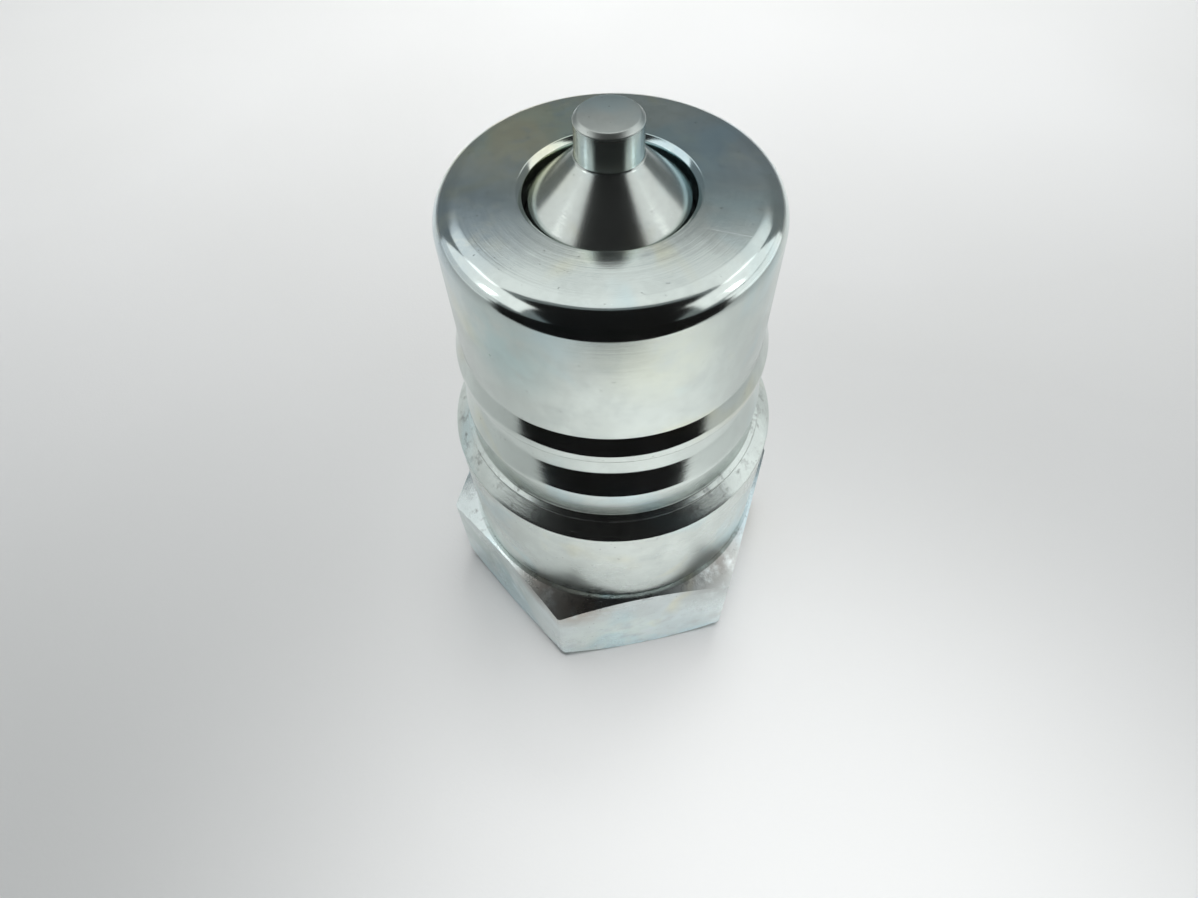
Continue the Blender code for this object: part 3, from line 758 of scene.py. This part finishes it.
class COUPLER_OT_poppet(bpy.types.Operator):
    """Turn the poppet: pin, cone, rim, sealing cone, step and stem"""

    bl_idname = "coupler.poppet"
    bl_label = "Poppet"

    def execute(self, context):
        s = context.scene.coupler_poppet
        nose = context.scene.coupler_nose
        face = NOSE_HIGH.z
        rim = nose.bore_radius - s.rim_gap
        rim_top = face - s.rim_drop
        rim_bottom = face - nose.bore_length + s.rim_gap - SEAT_GAP
        head_edge = rim_bottom - (s.head_radius - rim)
        head_back = RUBBER_HIGH.z + GAP
        spigot_end = RETAINER_LOW.z - GAP
        outline = [
            (0, POPPET_HIGH.z, 0),
            (s.pin_radius - s.pin_chamfer, POPPET_HIGH.z, 0.08 * MM),
            (s.pin_radius, POPPET_HIGH.z - s.pin_chamfer, 0.08 * MM),
            (s.pin_radius, rim_top + rim - s.pin_radius, 0.22 * MM),
            (rim, rim_top, 0.10 * MM),
            (rim, rim_bottom, EDGE),
            (s.head_radius, head_edge, EDGE),
            (s.head_radius, head_back, EDGE),
            (s.spigot_radius, head_back, EDGE),
            (s.spigot_radius, spigot_end, 0.10 * MM),
            (s.stem_radius, spigot_end - (s.spigot_radius - s.stem_radius) / 3, 0.20 * MM),
            (s.stem_radius, POPPET_LOW.z + s.pin_chamfer, EDGE),
            (s.stem_radius - s.pin_chamfer, POPPET_LOW.z, EDGE),
            (0, POPPET_LOW.z, 0),
        ]
        valve = object_from("poppet_valve", turned_bmesh(outline, closed=False))
        material = plated_finish(
            "turned_poppet",
            s.tone,
            roughness=0.18,
            mark_depth=0.0000035,
            grain_depth=0.0000016,
            polished=[(POPPET_HIGH.z - 0.45 * MM, POPPET_HIGH.z + MM, 0.34)],
            patches=[((-4.5, 3.0, 64.0), 6, (1.02, 0.98, 0.84))],
            metal=0.95,
        )
        finish_piece(valve, "valve", "poppet", material)
        return {"FINISHED"}


class COUPLER_OT_seals(bpy.types.Operator):
    """Mould the O-ring, the backup ring and the poppet's seal, and press its retainer"""

    bl_idname = "coupler.seals"
    bl_label = "Seals and retainer"

    def execute(self, context):
        nitrile = soft_finish("black_nitrile", (0.028, 0.028, 0.030), 0.5)
        ptfe = soft_finish("white_ptfe", (0.80, 0.80, 0.76), 0.45)
        pressed = steel_finish("pressed_steel", (0.55, 0.55, 0.56), 0.32, 0.000004)
        section = (SEAL_HIGH.z - SEAL_LOW.z) / 2
        bm = bmesh.new()
        place = Matrix.Translation((SEAL_HIGH.y - section, 0, SEAL_LOW.z + section))
        bmesh.ops.create_circle(
            bm, segments=24, radius=section, matrix=place @ Matrix.Rotation(math.radians(90), 4, "X")
        )
        full_turn(bm, 128)
        bmesh.ops.recalc_face_normals(bm, faces=bm.faces[:])
        finish_piece(object_from("o_ring", bm), "shell", "body_seal", nitrile)

        nose = context.scene.coupler_nose
        poppet = context.scene.coupler_poppet
        groove = SEAL_HIGH.y - 2 * section
        backup = self.ring(groove, BACKUP_HIGH.y, BACKUP_LOW.z, BACKUP_HIGH.z, 0.15 * MM)
        finish_piece(object_from("back_up_ring", backup), "shell", "backup_ring", ptfe)

        inner = poppet.spigot_radius + GAP
        lip = nose.bore_radius + NOSE_HIGH.z - nose.bore_length - RUBBER_HIGH.z - SEAT_GAP
        outer = RUBBER_HIGH.x
        outline = [
            (inner, RUBBER_HIGH.z, 0.10 * MM),
            (lip, RUBBER_HIGH.z, 0.15 * MM),
            (outer, RUBBER_HIGH.z - (outer - lip), 0.15 * MM),
            (outer, RUBBER_LOW.z, 0.10 * MM),
            (inner, RUBBER_LOW.z, 0.10 * MM),
        ]
        rubber = object_from("valve_seal", turned_bmesh(outline, steps=128))
        finish_piece(rubber, "valve", "poppet_seal", nitrile)

        pilot = 7.6 * MM
        shoulder = RETAINER_LOW.z + 1.0 * MM
        outline = [
            (inner, RETAINER_HIGH.z, 0.12 * MM),
            (RETAINER_HIGH.x, RETAINER_HIGH.z, 0.20 * MM),
            (RETAINER_HIGH.x, shoulder, 0.12 * MM),
            (pilot, shoulder, 0.15 * MM),
            (pilot, RETAINER_LOW.z, 0.20 * MM),
            (inner, RETAINER_LOW.z, 0.12 * MM),
        ]
        washer = object_from("retainer_washer", turned_bmesh(outline, steps=128))
        finish_piece(washer, "valve", "seal_retainer", pressed)
        return {"FINISHED"}

    def ring(self, inner, outer, bottom, top, rounding):
        outline = [(inner, top), (outer, top), (outer, bottom), (inner, bottom)]
        return turned_bmesh([(radius, height, rounding) for radius, height in outline], steps=128)


class COUPLER_OT_guide(bpy.types.Operator):
    """Make the drilled valve guide and the clip that holds it"""

    bl_idname = "coupler.guide"
    bl_label = "Guide and clip"

    def execute(self, context):
        s = context.scene.coupler_inside
        poppet = context.scene.coupler_poppet
        hole = poppet.stem_radius + s.stem_clearance
        plate_bottom = GUIDE_HIGH.z - s.plate_thickness
        outline = [
            (hole, GUIDE_HIGH.z, 0.15 * MM),
            (GUIDE_HIGH.x, GUIDE_HIGH.z, 0.25 * MM),
            (GUIDE_HIGH.x, plate_bottom, 0.15 * MM),
            (s.hub_radius, plate_bottom, 0.40 * MM),
            (s.hub_radius, GUIDE_LOW.z, 0.30 * MM),
            (hole, GUIDE_LOW.z, 0.15 * MM),
        ]
        guide = object_from("drilled_guide", turned_bmesh(outline, steps=128))
        bm = bmesh.new()
        clip_inner = CLIP_HIGH.y - s.clip_width
        circle = (s.hub_radius + clip_inner) / 2
        for i in range(s.hole_count):
            place = Matrix.Rotation(2 * math.pi * i / s.hole_count, 4, "Z") @ Matrix.Translation(
                (circle, 0, (plate_bottom + GUIDE_HIGH.z) / 2)
            )
            bmesh.ops.create_cone(
                bm, cap_ends=True, segments=48, radius1=s.hole_radius, radius2=s.hole_radius,
                depth=3 * s.plate_thickness, matrix=place,
            )
        boolean(guide, "DIFFERENCE", object_from("drill_tool", bm))
        steel = steel_finish("stamped_steel", (0.52, 0.52, 0.53), 0.34, 0.000004)
        finish_piece(guide, "shell", "valve_guide", steel)

        ring = self.clip_ring(s)
        spring_steel = steel_finish("phosphated_steel", (0.16, 0.16, 0.17), 0.42, 0.000003)
        finish_piece(ring, "shell", "guide_clip", spring_steel)
        return {"FINISHED"}

    def clip_ring(self, s):
        outer = CLIP_HIGH.y
        corners = [(outer - s.clip_width, CLIP_HIGH.z), (outer, CLIP_HIGH.z), (outer, CLIP_LOW.z)]
        corners.append((outer - s.clip_width, CLIP_LOW.z))
        ring = object_from("open_clip", turned_bmesh([(r, z, 0.1 * MM) for r, z in corners], steps=128))
        bm = bmesh.new()
        size = Matrix.Diagonal((2 * s.clip_width + MM, s.clip_opening, 4 * MM, 1))
        place = Matrix.Translation((outer - s.clip_width / 2, 0, CLIP_LOW.z))
        bmesh.ops.create_cube(bm, size=1, matrix=place @ size)
        boolean(ring, "DIFFERENCE", object_from("saw_tool", bm))
        return ring


class COUPLER_OT_spring(bpy.types.Operator):
    """Wind the valve spring, with closed end turns"""

    bl_idname = "coupler.spring"
    bl_label = "Valve spring"

    def execute(self, context):
        s = context.scene.coupler_inside
        radius = RETAINER_HIGH.x - 0.35 * MM - s.spring_wire / 2
        per_turn = 40
        count = s.spring_turns * per_turn + 1
        curve = bpy.data.curves.new("wound_spring", "CURVE")
        curve.dimensions = "3D"
        curve.bevel_depth = s.spring_wire / 2
        curve.bevel_resolution = 5
        curve.use_fill_caps = True
        spline = curve.splines.new("POLY")
        spline.points.add(count - 1)
        for i, point in enumerate(spline.points):
            turn = i / per_turn
            angle = 2 * math.pi * turn
            point.co = (radius * math.cos(angle), radius * math.sin(angle), self.height(s, turn), 1)
        wound = bpy.data.objects.new("wound_spring", curve)
        context.scene.collection.objects.link(wound)
        graph = context.evaluated_depsgraph_get()
        mesh = bpy.data.meshes.new_from_object(wound.evaluated_get(graph))
        bpy.data.objects.remove(wound)
        bm = bmesh.new()
        bm.from_mesh(mesh)
        bmesh.ops.remove_doubles(bm, verts=bm.verts[:], dist=1e-6)
        bmesh.ops.recalc_face_normals(bm, faces=bm.faces[:])
        bpy.data.meshes.remove(mesh)
        spring = object_from("valve_coil", bm)
        steel = steel_finish("spring_wire", (0.36, 0.37, 0.39), 0.28, 0.000002)
        finish_piece(spring, "shell", "valve_spring", steel)
        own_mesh(spring)
        return {"FINISHED"}

    def height(self, s, turn):
        bottom = SPRING_LOW.z + s.spring_wire / 2
        top = SPRING_HIGH.z - s.spring_wire / 2
        end_rise = s.spring_wire + GAP
        if turn < 1:
            return bottom + end_rise * turn
        if turn > s.spring_turns - 1:
            return top - end_rise * (s.spring_turns - turn)
        share = (turn - 1) / (s.spring_turns - 2)
        return bottom + end_rise + (top - bottom - 2 * end_rise) * share


class COUPLER_OT_stage(bpy.types.Operator):
    """Set the paper floor, the soft lights, the black cards and the camera"""

    bl_idname = "coupler.stage"
    bl_label = "Stage"

    def execute(self, context):
        s = context.scene.coupler_stage
        self.azimuth = s.camera_azimuth
        self.floor(s)
        self.world(context.scene)
        self.softbox("left_window", -84, 37, 0.46, 0.45, 0.34, 0.88, upright=True)
        self.softbox("right_window", 84, 37, 0.46, 0.45, 0.34, 0.88, upright=True)
        self.softbox("left_sill", -92, 6, 0.36, 0.34, 0.13, 0.54, upright=True)
        self.softbox("right_sill", 92, 3, 0.36, 0.34, 0.15, 0.85, upright=True)
        self.softbox("left_pane", -78, 26, 0.35, 0.05, 0.07, 2.8)
        self.softbox("right_pane", 78, 26, 0.35, 0.05, 0.07, 2.8)
        self.softbox("back_ceiling", 180, 66, 0.60, 1.20, 0.50, 0.75)
        self.pool("room_light", (0.03, 0.05, 1.30), (0.02, 0.0), 150, 0.30, 0.31)
        self.pool("front_pool", (0.03, -0.075, 0.27), (0.024, -0.071), 37, 0.03, 0.47)
        self.pool("back_pool", (0.07, 0.24, 0.55), (0.06, 0.185), 46, 0.10, 0.57)
        self.pool("left_pool", (-0.16, 0.18, 0.50), (-0.16, 0.15), 42, 0.10, 0.34)
        self.cards()
        self.camera(context.scene, s)
        context.scene.view_settings.view_transform = "Standard"
        return {"FINISHED"}

    def towards(self, azimuth, elevation):
        """Unit vector towards a place, with azimuth in degrees to the camera's right of its own side."""
        turn = self.azimuth + math.radians(azimuth)
        lift = math.radians(elevation)
        return Vector((math.sin(turn) * math.cos(lift), -math.cos(turn) * math.cos(lift), math.sin(lift)))

    def facing(self, direction):
        return direction.to_track_quat("Z", "Y").to_matrix().to_4x4()

    def floor(self, s):
        bm = bmesh.new()
        bmesh.ops.create_grid(bm, x_segments=8, y_segments=8, size=1.5)
        paper = object_from("paper_floor", bm)
        look = Finish("white_paper")
        shade = look.noise(look.place, 9.0, detail=2.0)
        tone = tuple(s.floor_tone)
        grey, white = tinted(tone, 0.975, 0.975, 0.97), tinted(tone, 1.02, 1.02, 1.02)
        paper_tone = look.ramp(shade, [(0.3, grey), (0.7, white)])
        fibres = look.bump(look.noise(look.place, 2500.0, detail=3.0), 0.00002)
        paper.data.materials.append(look.set(colour=paper_tone, rough=0.9, metal=0.0, normal=fibres))

    def world(self, scene):
        world = bpy.data.worlds.new("studio")
        world.use_nodes = True
        world.node_tree.nodes["Background"].inputs["Color"].default_value = (0.60, 0.66, 0.68, 1.0)
        world.node_tree.nodes["Background"].inputs["Strength"].default_value = 0.28
        scene.world = world

    def softbox(self, name, azimuth, elevation, distance, width, height, radiance, upright=False):
        """A bright panel that the metal mirrors. The floor has lights of its own."""
        light = bpy.data.lights.new(name, "AREA")
        light.shape = "RECTANGLE"
        light.size = width
        light.size_y = height
        light.energy = radiance * math.pi * width * height
        lamp = bpy.data.objects.new(name, light)
        bpy.context.scene.collection.objects.link(lamp)
        direction = self.towards(azimuth, elevation)
        face = self.towards(azimuth, 0) if upright else direction
        lamp.matrix_world = Matrix.Translation(self.aim() + direction * distance) @ self.facing(face)
        lamp.visible_camera = False
        lamp.visible_diffuse = False

    def pool(self, name, place, target, cone, softness, radiance):
        """A soft round pool of light on the floor, which the metal doesn't mirror."""
        turn = Matrix.Rotation(self.azimuth, 3, "Z")
        place, target = turn @ Vector(place), turn @ Vector((*target, 0))
        light = bpy.data.lights.new(name, "SPOT")
        light.spot_size = math.radians(cone)
        light.spot_blend = 1.0
        light.shadow_soft_size = softness
        throw = (place - target).length
        light.energy = radiance * 4 * math.pi * math.pi * throw * throw / 0.8
        lamp = bpy.data.objects.new(name, light)
        bpy.context.scene.collection.objects.link(lamp)
        lamp.matrix_world = Matrix.Translation(place) @ self.facing((place - target).normalized())
        lamp.visible_camera = False
        lamp.visible_glossy = False

    def aim(self):
        return Vector((0, 0, NOSE_HIGH.z * 0.7))

    def cards(self):
        """Black cards over and under the camera, which the polished bands mirror as dark stripes."""
        direction = self.towards(2, 42)
        above = Matrix.Translation(self.aim() + direction * 0.5) @ self.facing(direction)
        self.card("high_card", above @ Matrix.Diagonal((0.90, 0.86, 1, 1)), 0.38, 0.45)
        ahead = self.towards(0, 0)
        upright = Matrix.Translation(ahead * 0.069 + Vector((0, 0, 0.035))) @ self.facing(ahead)
        self.card("low_card", upright @ Matrix.Diagonal((0.46, 0.07, 1, 1)), 0.13, 0.23)

    def card(self, name, place, solid, faded):
        """A black card that thins out sideways, from this distance off its middle to that one."""
        look = Finish(name)
        dark, pale = (0.006, 0.005, 0.005), (0.010, 0.008, 0.009)
        weave = look.ramp(look.noise(look.place, 40.0), [(0.3, dark), (0.7, pale)])
        aside = look.along(self.towards(90, 0), (0, 0, 0))
        look.set(colour=weave, rough=1.0, metal=0.0, specular=0.0, alpha=look.step(aside, faded, solid))
        bm = bmesh.new()
        bmesh.ops.create_grid(bm, x_segments=1, y_segments=1, size=0.5, matrix=place)
        card = object_from(name, bm)
        card.data.materials.append(look.material)
        card.visible_camera = False
        card.visible_diffuse = False
        card.visible_shadow = False

    def camera(self, scene, s):
        data = bpy.data.cameras.new("camera")
        data.sensor_width = 36
        data.sensor_fit = "HORIZONTAL"
        data.lens = s.lens
        data.clip_start = 0.001
        camera = bpy.data.objects.new("camera", data)
        scene.collection.objects.link(camera)
        face_centre = Vector((0, 0, NOSE_HIGH.z))
        place = face_centre + self.towards(0, math.degrees(s.camera_elevation)) * s.camera_distance
        camera.matrix_world = (
            Matrix.Translation(place)
            @ Matrix.Rotation(-s.camera_heading, 4, "Z")
            @ Matrix.Rotation(math.pi / 2 - s.camera_tilt, 4, "X")
            @ Matrix.Rotation(s.camera_roll, 4, "Z")
        )
        scene.camera = camera


class COUPLER_PT_panel(bpy.types.Panel):
    """Buttons that build each piece again, and their sizes"""

    bl_idname = "COUPLER_PT_panel"
    bl_label = "Quick disconnect coupler"
    bl_space_type = "VIEW_3D"
    bl_region_type = "UI"
    bl_category = "Coupler"

    def draw(self, context):
        for operator in OPERATORS:
            self.layout.operator(operator.bl_idname)
        for name in SETTINGS:
            group = getattr(context.scene, name)
            box = self.layout.box()
            for key in group.bl_rna.properties.keys():
                if key not in ("rna_type", "name"):
                    box.prop(group, key)


OPERATORS = (
    COUPLER_OT_nose_body,
    COUPLER_OT_hex_end,
    COUPLER_OT_poppet,
    COUPLER_OT_seals,
    COUPLER_OT_guide,
    COUPLER_OT_spring,
    COUPLER_OT_stage,
)
SETTINGS = {
    "coupler_nose": NoseSettings,
    "coupler_hex": HexSettings,
    "coupler_poppet": PoppetSettings,
    "coupler_inside": InsideSettings,
    "coupler_stage": StageSettings,
}


def register():
    for cls in (*SETTINGS.values(), *OPERATORS, COUPLER_PT_panel):
        bpy.utils.register_class(cls)
    for name, cls in SETTINGS.items():
        setattr(bpy.types.Scene, name, PointerProperty(type=cls))


def unregister():
    for name in SETTINGS:
        delattr(bpy.types.Scene, name)
    for cls in reversed((*SETTINGS.values(), *OPERATORS, COUPLER_PT_panel)):
        bpy.utils.unregister_class(cls)


def main():
    register()
    bpy.ops.coupler.nose_body()
    bpy.ops.coupler.hex_end()
    bpy.ops.coupler.poppet()
    bpy.ops.coupler.seals()
    bpy.ops.coupler.guide()
    bpy.ops.coupler.spring()
    bpy.ops.coupler.stage()


if __name__ == "__main__":
    main()
